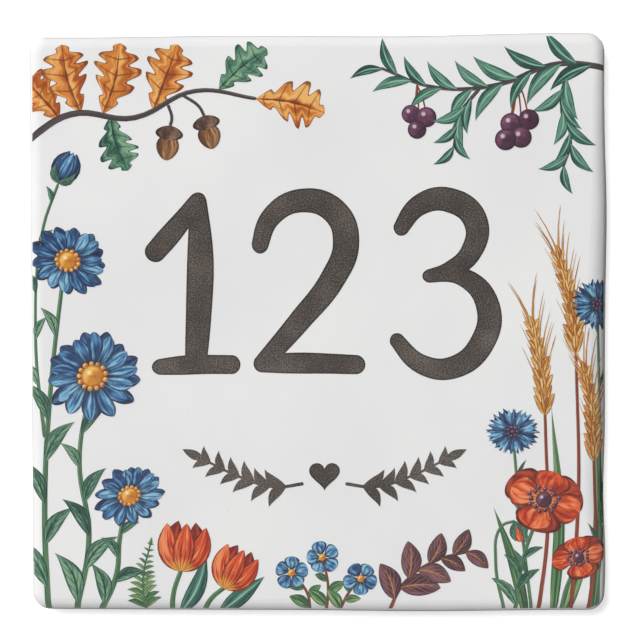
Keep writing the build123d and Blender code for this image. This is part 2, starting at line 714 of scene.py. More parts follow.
def grey(level):
    """A neutral colour of that linear level."""
    return (level, level, level, 1.0)


# Satin glaze over all finishes
GLAZE_ROUGHNESS = 0.17
GLAZE_REFRACTION = 1.5
GLAZE_SPECULAR = 0.3
GLAZE_SWELL_SCALE = 55.0
GLAZE_SWELL_HEIGHT = 0.15 * MM
GLAZE_SWELL_STRENGTH = 0.35

# White glaze with its flecks, and the bare clay behind it
CLOUD_SCALE = 28.0
CLOUD_STOPS = (0.3, 0.7)
CLOUD_WHITES = ((233, 233, 233), (240, 240, 239))
FLECK_CELL_SCALE = 95.0
FLECK_RADIUS = 0.035  # of a cell, times the cell's own chance
FLECK_LOSS = 0.012  # taken off, so that a third of the cells have no fleck
FLECK_COVER = 0.3
FLECK_GREY = (120, 116, 110)
CLAY_GRAIN_SCALE = 1400.0
CLAY_STOPS = (0.25, 0.75)
CLAY_SHADES = ((196, 178, 156), (222, 208, 188))
GLAZE_END_SCALE = 160.0
GLAZE_END_RAGGED = 1.6 * MM
GLAZE_END = BACK_Y - 1.1 * MM  # the glaze begins to run out here, towards the back
CLAY_START = BACK_Y - 0.6 * MM

# Charcoal ink
INK_MOTTLE_SCALE = 90.0
INK_SPECK_SCALE = 3200.0
INK_SPECK_SHARE = 0.7  # of the tone; the rest is mottle
INK_STOPS = (0.34, 0.5, 0.66)
INK_SHADES = ((36, 31, 28), (72, 65, 60), (126, 115, 107))
INK_EDGE = 0.7 * MM  # the ink darkens this far in from its outline
INK_EDGE_STEP = (0.2, 0.7)  # of the way from there to the outline
INK_EDGE_SHADE = (30, 27, 25)
INK_EDGE_COVER = 0.7

# Brushed paint; a tint moves a blade's marks through the noise, so that no two are alike
BRUSH_STOPS = (0.26, 0.5, 0.74)  # the tones of a paint's dark, middle and light shade
BRUSH_CONTRAST = 1.5
BRUSH_MARKS = 2.2  # along a blade
BRUSH_SHIFT = 13.0
BRUSH_DEPTH = 7.0
TINT_CONTRAST = 0.35
ROOT_SOLID = 0.2  # of the root colour's reach
ROOT_RAGGED = 0.3  # of the blade's length
LINE_WIDTHS = (0.05, 0.2)  # of the step between lines: solid to the first, gone at the second
LINE_WAVER = 0.5
LINE_SOLID = 0.5  # of the lines' reach
LINE_RAGGED = 0.6
LINE_COVER = 0.8
RIM_WAVES = 9.0
RIM_SHIFT = 19.0
RIM_RAGGED = 0.3
RIM_SOLID = 0.35  # of the rim's share of the width
RIM_COVER = 0.85
RIB_END = 1.15  # the rib would taper to nothing this far along
RIB_SOFTNESS = 1.9  # its soft edge ends at this many times its width
RIB_COVER = 0.9
VEIN_WIDTHS = (0.5, 2.0)  # times the vein's share: solid to the first, gone at the second
VEIN_OFFSET = 4.0  # whole veins, so that the count stays above nought
VEIN_COVER = 0.95
VEIN_LOSS = 0.6  # taken off that cover at the rim

# Berries
BERRY_STOPS = (0.15, 0.5, 0.85)
BERRY_LIGHT = 0.45  # towards the upper left
BERRY_TINT_CONTRAST = 0.3
BERRY_MARKS = 3.0
BERRY_SHIFT = 11.0
BERRY_DEPTH = 5.0
BERRY_CONTRAST = 0.9
BERRY_RIM = (0.72, 0.95)  # of the radius: where the dark rim begins and where it is full
BERRY_RIM_COVER = 0.8
GLINT_PLACE = (0.36, 0.66)
GLINT_REACH = (0.06, 0.14)  # solid to the first, gone at the second
GLINT_COVER = 0.85


class Paint(Graph):
    """The node graph of one finish."""

    def __init__(self, name):
        self.material = bpy.data.materials.new(name)
        self.material.use_nodes = True
        super().__init__(self.material.node_tree)
        self.tree.nodes.clear()

    def spot(self):
        """Where on the object, in metres."""
        return self.get("ShaderNodeTexCoord", output="Object")

    def attribute(self, name):
        """A named number that the mesh carries."""
        return self.get("ShaderNodeAttribute", {"attribute_name": name}, output="Fac")

    def map(self):
        """Along (0 root, 1 tip) and across (0 to 1) of the blade."""
        along, across, _ = self.parts(self.get("ShaderNodeUVMap", {"uv_map": "blade"}))
        return along, across

    def noise(self, vector, scale, detail=2.0):
        return self.get("ShaderNodeTexNoise", Vector=vector, Scale=scale, Detail=detail)

    def ramp(self, value, stops, shades):
        """The shades at their stops along value, blended evenly between."""
        node = self.add("ShaderNodeValToRGB", Fac=value)
        elements = node.color_ramp.elements
        while len(elements) < len(stops):
            elements.new(0.5)
        for element, stop, shade in zip(elements, stops, shades):
            element.position = stop
            element.color = seen(*shade)
        return self.out(node, "Color")

    def cover(self, under, share, over):
        """A colour with a share of another over it, which is a shade or a wire."""
        top = over if isinstance(over, Wire) else seen(*over)
        return self.get("ShaderNodeMix", {"data_type": "RGBA"}, Factor=share, A=under, B=top)

    def glazed(self, colour):
        """Ends the graph as a satin glaze over that colour."""
        swell = self.noise(self.spot(), GLAZE_SWELL_SCALE, detail=1.0)
        bump = self.get(
            "ShaderNodeBump", Height=swell, Strength=GLAZE_SWELL_STRENGTH, Distance=GLAZE_SWELL_HEIGHT
        )
        shader = self.add(
            "ShaderNodeBsdfPrincipled",
            Base_Color=colour,
            Roughness=GLAZE_ROUGHNESS,
            IOR=GLAZE_REFRACTION,
            Specular_IOR_Level=GLAZE_SPECULAR,
            Normal=bump,
        )
        self.add("ShaderNodeOutputMaterial", Surface=self.out(shader))
        return self.material


def white_glaze():
    """White glaze with a few flecks; the back and the foot of the sides are bare biscuit clay."""
    paint = Paint("white_glaze_on_clay")
    spot = paint.spot()
    _, depth, _ = paint.parts(spot)
    cloud = paint.noise(spot, CLOUD_SCALE, detail=3.0)
    white = paint.ramp(cloud, CLOUD_STOPS, CLOUD_WHITES)
    cells = paint.add("ShaderNodeTexVoronoi", Vector=spot, Scale=FLECK_CELL_SCALE)
    chance = paint.parts(paint.out(cells, "Color"))[0]
    fleck = paint.math("LESS_THAN", paint.out(cells, "Distance"), chance * FLECK_RADIUS - FLECK_LOSS)
    white = paint.cover(white, fleck * FLECK_COVER, FLECK_GREY)

    grain = paint.noise(spot, CLAY_GRAIN_SCALE, detail=3.0)
    clay = paint.ramp(grain, CLAY_STOPS, CLAY_SHADES)
    ragged = paint.noise(spot, GLAZE_END_SCALE, detail=3.0) * GLAZE_END_RAGGED
    bare = paint.ease(depth + ragged, GLAZE_END, CLAY_START)
    return paint.glazed(paint.cover(white, bare, clay))


def charcoal_print():
    """The number's charcoal, a little mottled and finely speckled."""
    paint = Paint("charcoal_print")
    spot = paint.spot()
    mottle = paint.noise(spot, INK_MOTTLE_SCALE)
    speck = paint.noise(spot, INK_SPECK_SCALE, detail=1.0)
    tone = mottle * (1.0 - INK_SPECK_SHARE) + speck * INK_SPECK_SHARE
    colour = paint.ramp(tone, INK_STOPS, INK_SHADES)
    edge = paint.ease(paint.attribute("edge"), *INK_EDGE_STEP)
    return paint.glazed(paint.cover(colour, edge * INK_EDGE_COVER, INK_EDGE_SHADE))


def brush_paint(name, shades, rim, rim_share=0.3, rib=None, rib_share=0.12, veins=0.0, vein_slant=0.35,
                vein_share=0.1, streaks=6.0, half_shade=0.3, root=None, root_reach=0.35, lines=0.0,
                line_reach=0.8):
    """Brushed paint on a blade: three shades, a darker rim, and lines, a rib or veins where it has them."""
    paint = Paint(name)
    along, across = paint.map()
    tint = paint.attribute("tint")
    aside = paint.off_middle(across) * 2.0
    marks = paint.vector(along * BRUSH_MARKS + tint * BRUSH_SHIFT, across * streaks, tint * BRUSH_DEPTH)
    brush = paint.noise(marks, 1.0, detail=3.0) - 0.5
    tone = brush * BRUSH_CONTRAST + (across - 0.5) * half_shade + (tint - 0.5) * TINT_CONTRAST + 0.5
    colour = paint.ramp(tone, BRUSH_STOPS, shades)
    if root is not None:
        reach = paint.fade(along + brush * ROOT_RAGGED, root_reach * ROOT_SOLID, root_reach)
        colour = paint.cover(colour, reach, root)
    if lines:
        wave = paint.math("FRACT", across * lines + brush * LINE_WAVER + tint)
        line = paint.fade(paint.off_middle(wave), *LINE_WIDTHS)
        reach = paint.fade(along + brush * LINE_RAGGED, line_reach * LINE_SOLID, line_reach)
        colour = paint.cover(colour, line * reach * LINE_COVER, rim)
    wobble = paint.noise(paint.vector(along * RIM_WAVES, tint * RIM_SHIFT, across * 2.0), 1.0) - 0.5
    edge = paint.ease(aside + wobble * RIM_RAGGED, 1.0 - rim_share, 1.0 - rim_share * RIM_SOLID)
    colour = paint.cover(colour, edge * RIM_COVER, rim)
    if rib is not None:
        width = rib_share * (RIB_END - along)
        line = paint.fade(aside, width, width * RIB_SOFTNESS)
        if veins:
            count = paint.math("FRACT", (along - aside * vein_slant) * veins + VEIN_OFFSET)
            vein = paint.fade(paint.off_middle(count), *(vein_share * times for times in VEIN_WIDTHS))
            line = paint.highest(line, vein * (VEIN_COVER - aside * VEIN_LOSS))
        colour = paint.cover(colour, line * RIB_COVER, rib)
    return paint.glazed(colour)


def berry_paint(name, shades, glint):
    """A round berry: dark below and round its rim, lit from the upper left, with a glint."""
    paint = Paint(name)
    right, up = paint.map()
    tint = paint.attribute("tint")

    def distance(place):
        return paint.math("SQRT", (right - place[0]) ** 2.0 + (up - place[1]) ** 2.0)

    lit = (up - right) * BERRY_LIGHT + (tint - 0.5) * BERRY_TINT_CONTRAST
    marks = paint.vector(right * BERRY_MARKS + tint * BERRY_SHIFT, up * BERRY_MARKS, tint * BERRY_DEPTH)
    tone = lit + (paint.noise(marks, 1.0) - 0.5) * BERRY_CONTRAST + 0.5
    colour = paint.ramp(tone, BERRY_STOPS, shades)
    rim = paint.ease(distance((0.5, 0.5)) * 2.0, *BERRY_RIM)
    colour = paint.cover(colour, rim * BERRY_RIM_COVER, shades[0])
    shine = paint.fade(distance(GLINT_PLACE), *GLINT_REACH)
    return paint.glazed(paint.cover(colour, shine * GLINT_COVER, glint))


SAGE_SHADES = ((40, 76, 65), (78, 126, 102), (134, 172, 138))
SAGE_RIM = (30, 58, 50)
SAGE_RIB = (28, 54, 46)
OAK_VEINS = {"rim_share": 0.2, "rib_share": 0.06, "veins": 4.5, "vein_slant": 0.0, "vein_share": 0.04}

TILE.data.materials[0] = white_glaze()
CHARCOAL = charcoal_print()
SAGE = brush_paint("sage_leaf", SAGE_SHADES, rim=SAGE_RIM, rib=SAGE_RIB, veins=5.0)
TEAL = brush_paint("teal_leaf", ((28, 64, 60), (58, 110, 97), (102, 152, 130)), rim=(22, 48, 46),
                   rib=(160, 192, 164), rib_share=0.1)
GRASS = brush_paint("grass_blade", ((48, 84, 55), (90, 134, 84), (150, 178, 120)), rim=(38, 68, 48),
                    rib=(40, 70, 47), rib_share=0.14, streaks=9.0)
BLUE = brush_paint("blue_petal", ((36, 64, 108), (76, 128, 172), (142, 192, 216)), rim=(30, 42, 74),
                   rim_share=0.34, streaks=5.0, half_shade=0.2, root=(25, 36, 66), root_reach=0.45,
                   lines=3.0)
INDIGO = brush_paint("indigo_petal", ((24, 36, 64), (42, 66, 106), (74, 112, 150)), rim=(21, 29, 50),
                     rim_share=0.4, streaks=5.0, half_shade=0.2, root=(19, 26, 46), root_reach=0.6)
ORANGE = brush_paint("orange_petal", ((160, 44, 22), (216, 86, 44), (240, 142, 94)), rim=(94, 25, 18),
                     rim_share=0.24, streaks=7.0, root=(234, 166, 74), root_reach=0.3, lines=5.0,
                     line_reach=0.65)
EMBER = brush_paint("red_petal", ((92, 24, 16), (134, 38, 24), (178, 70, 44)), rim=(64, 18, 14),
                    streaks=7.0)
OCHRE = brush_paint("ochre_oak_leaf", ((166, 80, 28), (216, 132, 54), (238, 180, 104)), rim=(118, 56, 24),
                    rib=(102, 44, 20), **OAK_VEINS)
FOREST = brush_paint("green_oak_leaf", SAGE_SHADES, rim=SAGE_RIM, rib=SAGE_RIB, **OAK_VEINS)
COPPER = brush_paint("beech_leaf", ((58, 34, 48), (84, 52, 66), (122, 84, 92)), rim=(44, 26, 40),
                     rim_share=0.2, rib=(186, 128, 78), rib_share=0.06, veins=5.0, vein_slant=0.5,
                     vein_share=0.05)
GRAIN = brush_paint("barley_grain", ((156, 90, 36), (208, 146, 70), (236, 198, 130)), rim=(116, 64, 28),
                    rim_share=0.34, rib=(122, 64, 30), rib_share=0.14)
PLUM = berry_paint("plum_berry", ((52, 30, 46), (84, 48, 70), (128, 82, 108)), glint=(214, 196, 208))
EYE = berry_paint("flower_eye", ((158, 86, 30), (218, 146, 54), (242, 198, 106)), glint=(250, 230, 176))
NUT = brush_paint("acorn_nut", ((96, 62, 40), (140, 96, 62), (190, 146, 100)), rim=(70, 44, 32),
                  rim_share=0.35, streaks=8.0, half_shade=0.5)
CUP = brush_paint("acorn_cup", ((62, 44, 36), (92, 68, 54), (134, 106, 86)), rim=(46, 34, 30), streaks=4.0)
TWIG = brush_paint("dark_twig", ((52, 46, 50), (74, 64, 64), (104, 90, 86)), rim=(44, 38, 44), streaks=3.0)
RUST = brush_paint("rust_stalk", ((102, 42, 32), (136, 60, 42), (168, 90, 62)), rim=(84, 34, 28),
                   streaks=3.0)
STALK = brush_paint("green_stalk", ((50, 84, 64), (78, 118, 82), (114, 150, 106)), rim=(40, 70, 56),
                    streaks=3.0)

SLOT_FINISHES = {
    "number_charcoal": [CHARCOAL],
    "leaf_green": [SAGE, TEAL, GRASS, FOREST, STALK],
    "petal_blue": [BLUE, INDIGO],
    "petal_orange": [ORANGE, EMBER],
    "ear_ochre": [OCHRE, GRAIN, EYE],
    "berry_plum": [PLUM, COPPER],
    "acorn_brown": [NUT, CUP, TWIG, RUST],
}
SLOTS = {finish: slot for slot, finishes in SLOT_FINISHES.items() for finish in finishes}

LANCE_LEAF = leaf_shape("lance_leaf", bend=0.42, lean=0.85, fullness=1.05, rows=23)
ROUND_LEAF = leaf_shape("round_leaf", bend=0.14, lean=0.9, fullness=0.75, rows=20)
RAY_PETAL = leaf_shape("ray_petal", bend=0.12, lean=1.5, fullness=0.6, rows=16)
ROUND_PETAL = leaf_shape("round_petal", bend=0.0, lean=1.7, fullness=0.5, rows=22, columns=7)
FERN_LEAF = leaf_shape("fern_leaf", bend=0.4, lean=0.8, fullness=0.8, rows=7)
HUSK = leaf_shape("grain_husk", bend=0.22, lean=0.8, fullness=0.7, rows=8)
AWN = leaf_shape("grain_awn", bend=1.6, lean=0.3, fullness=0.5, rows=6, columns=3)
TOOTHED_PETAL = toothed_shape("toothed_petal", teeth=3, tooth_depth=0.3, root=0.2)
DISC = disc_shape("disc")


# The number

FILL_INSIDE = 1  # keeps what lies within the rings
FILL_WELD = 1e-7  # points nearer than this become one
INK_EDGE_CLEAR = 0.9 * INK_EDGE  # points of the inked edge keep this far from the whole outline


def lengthened(points, before, after):
    """The same points with the first moved out by before and the last by after."""
    def beyond(end, neighbour, extra):
        way = (Vector(end) - Vector(neighbour)).normalized()
        return tuple(Vector(end) + way * extra)
    return (beyond(points[0], points[1], before), *points[1:-1], beyond(points[-1], points[-2], after))


def stroke(points, start, end, swell):
    """A pen stroke between the middles of its round ends; start and end are its half widths in mm."""
    run = lengthened(points, start, end)
    length = sum(math.dist(a, b) for a, b in zip(run, run[1:]))
    return blade(run, rows=96, root=start, tip=end, belly=swell, lobes=1.5, lobe_depth=0.05,
                 round_end=(start + end) / 2 / length)


def outline_of(mesh):
    """The boundary of a flat strip as one loop of points, right and up."""
    bm = bmesh.new()
    bm.from_mesh(mesh)
    loop = next(l for e in bm.edges if e.is_boundary for l in e.link_loops)
    first, ring = loop, []
    while True:
        ring.append(Vector((loop.vert.co.x, loop.vert.co.z)))
        loop = loop.link_loop_next
        while not loop.edge.is_boundary:
            loop = loop.link_loop_radial_next.link_loop_next
        if loop == first:
            break
    bm.free()
    return ring


def filled(rings, inside=()):
    """One flat mesh within closed rings of points, right and up in metres; rings may cross.

    Its edge attribute is 1 on the rings and 0 at the points inside.
    """
    places, loops = [], []
    for ring in rings:
        loops.append(list(range(len(places), len(places) + len(ring))))
        places += ring
    verts, _, faces, sources, *_ = delaunay_2d_cdt([*places, *inside], [], loops, FILL_INSIDE, FILL_WELD)
    mesh = bpy.data.meshes.new("filled")
    mesh.from_pydata([(v.x, 0.0, v.y) for v in verts], [], [list(f) for f in faces])
    edge = mesh.attributes.new("edge", "FLOAT", "POINT")
    edge.data.foreach_set("value", [float(min(source, default=0) < len(places)) for source in sources])
    return mesh


def inked(rings):
    """One flat mesh of rings that may cross, with points just inside its outline for the inked edge."""
    outline = outline_of(filled(rings))
    before, after = outline[-1:] + outline[:-1], outline[1:] + outline[:1]
    turning = sum(a.cross(b) for a, b in zip(outline, after))
    inwards = math.copysign(INK_EDGE, turning)
    inside = []
    for last, here, coming in zip(before, outline, after):
        place = here + (coming - last).orthogonal().normalized() * inwards
        if all((place - other).length > INK_EDGE_CLEAR for other in outline):
            inside.append(place)
    return filled([outline], inside)


# Each stroke: its points, its half width at the start and at the end, and how far it swells between
NUMBER = {
    "one": (
        (((-42.2, 18.4), (-37.0, 24.4), (-31.2, 31.6)), 2.8, 2.1, 0.3),
        (((-31.2, 31.6), (-30.6, 17.0), (-31.0, 3.0), (-31.7, -9.4)), 2.1, 2.7, 1.2),
        (((-41.2, -11.6), (-32.0, -11.0), (-22.6, -11.0)), 2.0, 2.4, 0.4),
    ),
    "two": (
        (((-15.0, 20.0), (-12.0, 27.6), (-4.0, 31.6), (4.4, 28.6), (7.2, 20.6), (3.8, 11.4), (-4.8, 0.4),
          (-14.6, -10.8)), 2.2, 2.2, 1.3),
        (((-14.6, -10.8), (-4.0, -10.6), (9.8, -11.0)), 2.2, 2.4, 0.5),
    ),
    "three": (
        (((21.6, 24.4), (26.6, 30.6), (34.4, 31.6), (40.8, 26.2), (39.6, 18.2), (34.2, 13.6), (28.6, 12.0)),
         2.0, 1.6, 1.5),
        (((28.6, 12.0), (37.8, 11.6), (44.0, 4.2), (42.6, -5.2), (35.4, -11.6), (27.0, -11.0), (20.4, -4.6)),
         1.6, 1.8, 1.6),
    ),
}
for digit, strokes in NUMBER.items():
    number = Motif("number_" + digit)
    number.add(inked([outline_of(stroke(*one)) for one in strokes]), CHARCOAL)
    number.lay()


# Ornament below the number

ORNAMENT_MIDDLE = (1.6, -39.5)
ORNAMENT_TWIG = ((-5.4, -2.4), (-13.0, -3.2), (-22.0, -0.6), (-32.0, 4.2))  # left-hand twig, from the middle
HEART_HALF = 4.0  # half the width of the heart


def heart(middle, half, steps=48):
    """A filled heart of that half width, in millimetres, by the usual heart curve."""
    ring = []
    for step in range(steps):
        turn = 2 * math.pi * step / steps
        right = math.sin(turn) ** 3
        up = 13 * math.cos(turn) - 5 * math.cos(2 * turn) - 2 * math.cos(3 * turn) - math.cos(4 * turn)
        ring.append((Vector(middle) + Vector((right, up / 16)) * half) * MM)
    return inked([ring])


def mirrored(mesh, middle):
    """A copy of a flat mesh on the other side of an upright line, that many millimetres to the right."""
    copy = mesh.copy()
    copy.transform(Matrix.Translation((2 * middle * MM, 0.0, 0.0)) @ Matrix.Scale(-1.0, 4, (1.0, 0.0, 0.0)))
    return copy


def tip_run(run, back, middle, reach):
    """Points for a leaf at the tip of a run, from a little back along it to its reach beyond."""
    end = Vector(run[-1])
    way = (end - Vector(run[-2])).normalized()
    return (end - way * back, end + way * middle, end + way * reach)


def ornament():
    """Two leafy twigs that part from a small heart."""
    twigs = Motif("ornament")
    middle = Vector(ORNAMENT_MIDDLE)
    run = [middle + Vector(step) for step in ORNAMENT_TWIG]
    twigs.stem(run, CHARCOAL, root=0.45, tip=0.3)
    twigs.leaves(run, LANCE_LEAF, CHARCOAL, count=6, length=7.0, width=2.7, start=0.16, end=0.9, angle=44,
                 seed=4, tip_scale=0.7, jitter=0.04, angle_jitter=3, pairs=True)
    twigs.single(tip_run(run, back=0.8, middle=2.2, reach=5.4), CHARCOAL, height=1, rows=13, belly=1.2,
                 lean=0.85)
    for meshes in twigs.films.values():
        meshes += [mirrored(mesh, middle.x) for mesh in meshes]
    twigs.add(heart(middle, HEART_HALF), CHARCOAL, 2)
    twigs.lay()


ornament()


# Border

BERRY_STALK_BOW = Vector((0.4, 0.3))  # how far a berry's stalk bows aside, in mm


def between(foot, tip, width):
    """A function for places by their share of the way from foot to tip, and of half the width aside."""
    foot, tip = Vector(foot), Vector(tip)
    aside = (tip - foot).orthogonal().normalized() * width / 2

    def place(along, across=0.0):
        return foot.lerp(tip, along) + aside * across
    return place


def ring_round(middle, radii, slant=1.0, roll=0.0):
    """Places round a flower's middle, one for each radius, seen at the flower's slant and roll."""
    places = []
    for step, radius in enumerate(radii):
        angle = 2 * math.pi * step / len(radii)
        across = Vector((math.cos(angle), math.sin(angle) * slant)) * radius
        across.rotate(Matrix.Rotation(math.radians(roll), 2))
        places.append((middle[0] + across.x, middle[1] + across.y))
    return places


def daisy(name, middle, size, slant, roll, seed):
    """A many-petalled blue flower of that size across, with a dotted golden eye."""
    flower = Motif(name, FLOWER_LAYER)
    half = size / 2
    view = {"slant": slant, "roll": roll}
    flower.petals(middle, half, RAY_PETAL, INDIGO, count=13, inner=0.22, length=0.8, width=0.36, seed=seed,
                  height=0, first=9, **view)
    flower.dots([middle], INDIGO, size=half * 0.9, jitter=0.0, height=0)
    flower.petals(middle, half, RAY_PETAL, BLUE, count=14, inner=0.2, length=0.76, width=0.34,
                  seed=seed + 1, height=1, **view)
    flower.dots([middle], EYE, size=half * 0.5, jitter=0.0, height=2)
    flower.dots(ring_round(middle, [half * 0.29] * 13, **view), EYE, size=half * 0.11, seed=seed)
    flower.lay()


def daisy_bud(plant, foot, tip, width):
    """A half-open bud from its foot to its tip."""
    place = between(foot, tip, width)
    for share, finish, height in ((-0.6, INDIGO, 2), (0.6, INDIGO, 2), (0.0, BLUE, 3)):
        petal = (foot, place(0.5, share), place(1.0, share * 0.5))
        plant.single(petal, finish, height, rows=12, belly=width * 0.3, lean=0.9, fullness=0.8)
    for share in (-0.6, 0.6):
        sepal = (foot, place(0.22, share * 1.2), place(0.5, share * 1.5))
        plant.single(sepal, SAGE, height=4, rows=9, belly=width * 0.16, lean=0.8)


def daisy_side():
    """Blue daisies on tall stalks up the left side."""
    plant = Motif("daisy_plant")
    tall = ((-70.0, -76.0), (-71.0, -48.0), (-69.5, -18.0), (-66.0, 14.0))
    middle = ((-63.0, -76.0), (-59.5, -56.0), (-62.0, -36.0), (-59.0, -16.0))
    low = ((-57.0, -76.0), (-52.5, -66.0), (-51.5, -56.0), (-49.5, -46.0))
    bud = ((-71.0, -30.0), (-73.5, -4.0), (-71.5, 24.0), (-67.5, 36.0))
    for run in (tall, middle, low):
        plant.stem(run, STALK, root=0.8, tip=0.5)
    plant.stem(bud, STALK, root=0.5, tip=0.35)
    plant.leaves(tall, LANCE_LEAF, SAGE, count=7, length=15.0, width=4.6, start=0.08, end=0.8, angle=34,
                 seed=3)
    plant.leaves(middle, LANCE_LEAF, SAGE, count=6, length=13.5, width=4.4, start=0.05, end=0.78, angle=40,
                 seed=12)
    plant.leaves(low, LANCE_LEAF, SAGE, count=4, length=10.0, width=3.6, start=0.1, end=0.7, angle=46,
                 seed=8)
    plant.leaves(bud, LANCE_LEAF, SAGE, count=5, length=8.5, width=2.8, start=0.2, end=0.92, angle=36,
                 seed=5)
    daisy_bud(plant, bud[-1], (-63.5, 44.0), width=6.4)
    plant.lay()
    daisy("daisy_tall", (-65.0, 16.0), size=20.0, slant=0.86, roll=-18, seed=3)
    daisy("daisy_middle", (-58.6, -14.0), size=24.0, slant=0.94, roll=12, seed=7)
    daisy("daisy_low", (-49.0, -45.0), size=18.0, slant=0.82, roll=24, seed=11)


def tulip(name, foot, tip, width):
    """An orange tulip head from its foot to its tip: two petals behind and three in front."""
    flower = Motif(name, FLOWER_LAYER)
    place = between(foot, tip, width)
    for share in (-0.55, 0.55):
        petal = (foot, place(0.5, share), place(0.98, share * 0.75))
        flower.single(petal, EMBER, height=0, rows=18, columns=7, belly=width * 0.24, lean=1.1,
                      fullness=0.8)
    for share, height in ((-0.62, 1), (0.62, 1), (0.0, 2)):
        petal = (foot, place(0.4, share * 1.15), place(0.94 - abs(share) * 0.06, share * 1.5))
        flower.single(petal, ORANGE, height, rows=20, columns=7, belly=width * 0.26, lean=0.85,
                      fullness=0.75, tint=0.5 + share * 0.5)
    flower.lay()


def tulip_bed():
    """Orange tulips with their broad leaves along the bottom, left of the middle."""
    bed = Motif("tulip_plant")
    stalks = (
        ((-38.0, -76.0), (-37.5, -70.0), (-35.5, -64.0)),
        ((-30.0, -76.0), (-28.0, -72.0), (-24.0, -68.5)),
    )
    for run in stalks:
        bed.stem(run, STALK, root=0.7, tip=0.55)
    broad = (
        ((-36.0, -76.0), (-31.5, -69.0), (-29.0, -60.0)),
        ((-26.0, -76.0), (-20.0, -71.0), (-14.0, -66.0)),
    )
    for run in broad:
        bed.single(run, TEAL, height=1, rows=18, columns=7, belly=2.2, lean=0.8)
    bed.lay()
    tulip("tulip_left", (-35.6, -64.5), (-34.0, -51.5), width=11.0)
    tulip("tulip_right", (-24.4, -69.0), (-19.0, -58.5), width=9.5)


def little_flowers():
    """Small five-petalled blue flowers among round leaves in the middle of the bottom."""
    patch = Motif("little_flowers")
    half = 4.3
    runs = (
        ((-2.0, -76.0), (-3.0, -70.0), (-7.0, -65.0)),
        ((2.0, -76.0), (2.5, -68.0), (1.0, -61.0)),
        ((5.0, -76.0), (8.0, -70.0), (11.0, -66.5)),
    )
    for seed, run in enumerate(runs, start=1):
        patch.stem(run, RUST, root=0.4, tip=0.3)
        patch.leaves(run, ROUND_LEAF, GRASS, count=4, length=5.6, width=2.8, start=0.15, end=0.8, angle=52,
                     seed=seed)
        patch.petals(run[-1], half, ROUND_PETAL, BLUE, count=5, inner=0.14, length=0.86, width=0.92,
                     seed=seed, height=2, first=seed * 17.0)
        patch.dots([run[-1]], EYE, size=half * 0.46, height=4)
    patch.lay()


def fern():
    """A fern frond on the left of the tulips."""
    frond = Motif("fern_left")
    run = ((-44.6, -76.0), (-45.4, -66.0), (-43.6, -57.6))
    length = 5.2
    frond.stem(run, STALK, root=0.45, tip=0.2)
    frond.leaves(run, FERN_LEAF, GRASS, count=11, length=length, width=length * 0.34, start=0.1, end=0.985,
                 angle=62, seed=6, tip_scale=0.22, jitter=0.06, angle_jitter=4, pairs=True)
    frond.single(tip_run(run, back=0.6, middle=0.6, reach=1.9), GRASS, height=1, rows=8, columns=3,
                 belly=0.45, lean=0.8)
    frond.lay()


def barley(name, run, ear, seed):
    """An ear of barley: a stalk along run and a bearded head along ear."""
    head = Motif(name, BARLEY_LAYER)
    head.stem(run + ear, RUST, root=0.55, tip=0.3)
    head.leaves(ear, AWN, GRAIN, count=11, length=17.0, width=0.5, start=0.0, end=0.95, angle=13, seed=seed,
                tip_scale=0.9, angle_jitter=3, pairs=True, height=1)
    head.leaves(ear, HUSK, GRAIN, count=9, length=5.8, width=2.5, start=0.0, end=0.92, angle=27,
                seed=seed + 2, tip_scale=0.72, jitter=0.06, angle_jitter=3, pairs=True, height=2)
    head.leaves(ear, HUSK, GRAIN, count=9, length=5.0, width=2.1, start=0.05, end=0.98, angle=6,
                seed=seed + 4, tip_scale=0.75, jitter=0.06, angle_jitter=4, height=3)
    head.lay()


def poppy(name, middle, size, slant, roll, seed):
    """An open orange-red poppy with a dark heart."""
    flower = Motif(name, TOP_FLOWER_LAYER)
    half = size / 2
    view = {"slant": slant, "roll": roll}
    flower.petals(middle, half, ROUND_PETAL, EMBER, count=3, inner=0.06, length=0.96, width=1.2, seed=seed,
                  height=0, first=30, **view)
    flower.petals(middle, half, ROUND_PETAL, ORANGE, count=4, inner=0.06, length=0.86, width=1.02,
                  seed=seed + 1, height=1, first=80, **view)
    stamens = [half * (0.33 + 0.07 * (step % 2)) for step in range(15)]
    flower.dots(ring_round(middle, stamens, **view), PLUM, size=half * 0.12, seed=seed, height=2)
    flower.dots([middle], PLUM, size=half * 0.42, jitter=0.0)
    flower.lay()


def poppy_bud(plant, foot, tip, width):
    """A nodding green bud with a slit of orange."""
    place = between(foot, tip, width)
    plant.single((foot, place(0.5), tip), ORANGE, height=1, rows=14, belly=width * 0.4, fullness=0.6)
    for share in (-0.6, 0.6):
        half = (foot, place(0.5, share), place(0.9, share * 0.9))
        plant.single(half, SAGE, height=2, rows=14, belly=width * 0.19, fullness=0.7)


def cornflower(name, run, size, slant, roll, seed):
    """A ragged blue flower at the end of its thin stalk, with a dark heart."""
    plant = Motif(name + "_stalk", THIN_STALK_LAYER)
    plant.stem(run, STALK, root=0.45, tip=0.35)
    plant.leaves(run, LANCE_LEAF, SAGE, count=5, length=9.0, width=1.5, start=0.2, end=0.9, angle=26,
                 seed=seed)
    plant.lay()
    flower = Motif(name, TOP_FLOWER_LAYER)
    middle = run[-1]
    half = size / 2
    view = {"slant": slant, "roll": roll}
    flower.petals(middle, half, TOOTHED_PETAL, INDIGO, count=8, inner=0.1, length=0.86, width=0.62,
                  seed=seed, height=0, first=20, **view)
    flower.petals(middle, half, TOOTHED_PETAL, BLUE, count=8, inner=0.12, length=0.8, width=0.54,
                  seed=seed + 1, height=1, **view)
    flower.dots([middle], INDIGO, size=half * 0.5, jitter=0.0, height=2)
    flower.petals(middle, half, LANCE_LEAF, INDIGO, count=9, inner=0.04, length=0.42, width=0.13,
                  seed=seed + 2, height=2, **view)
    flower.dots([middle, *ring_round(middle, [half * 0.17] * 7)], PLUM, size=half * 0.14, seed=seed)
    flower.lay()


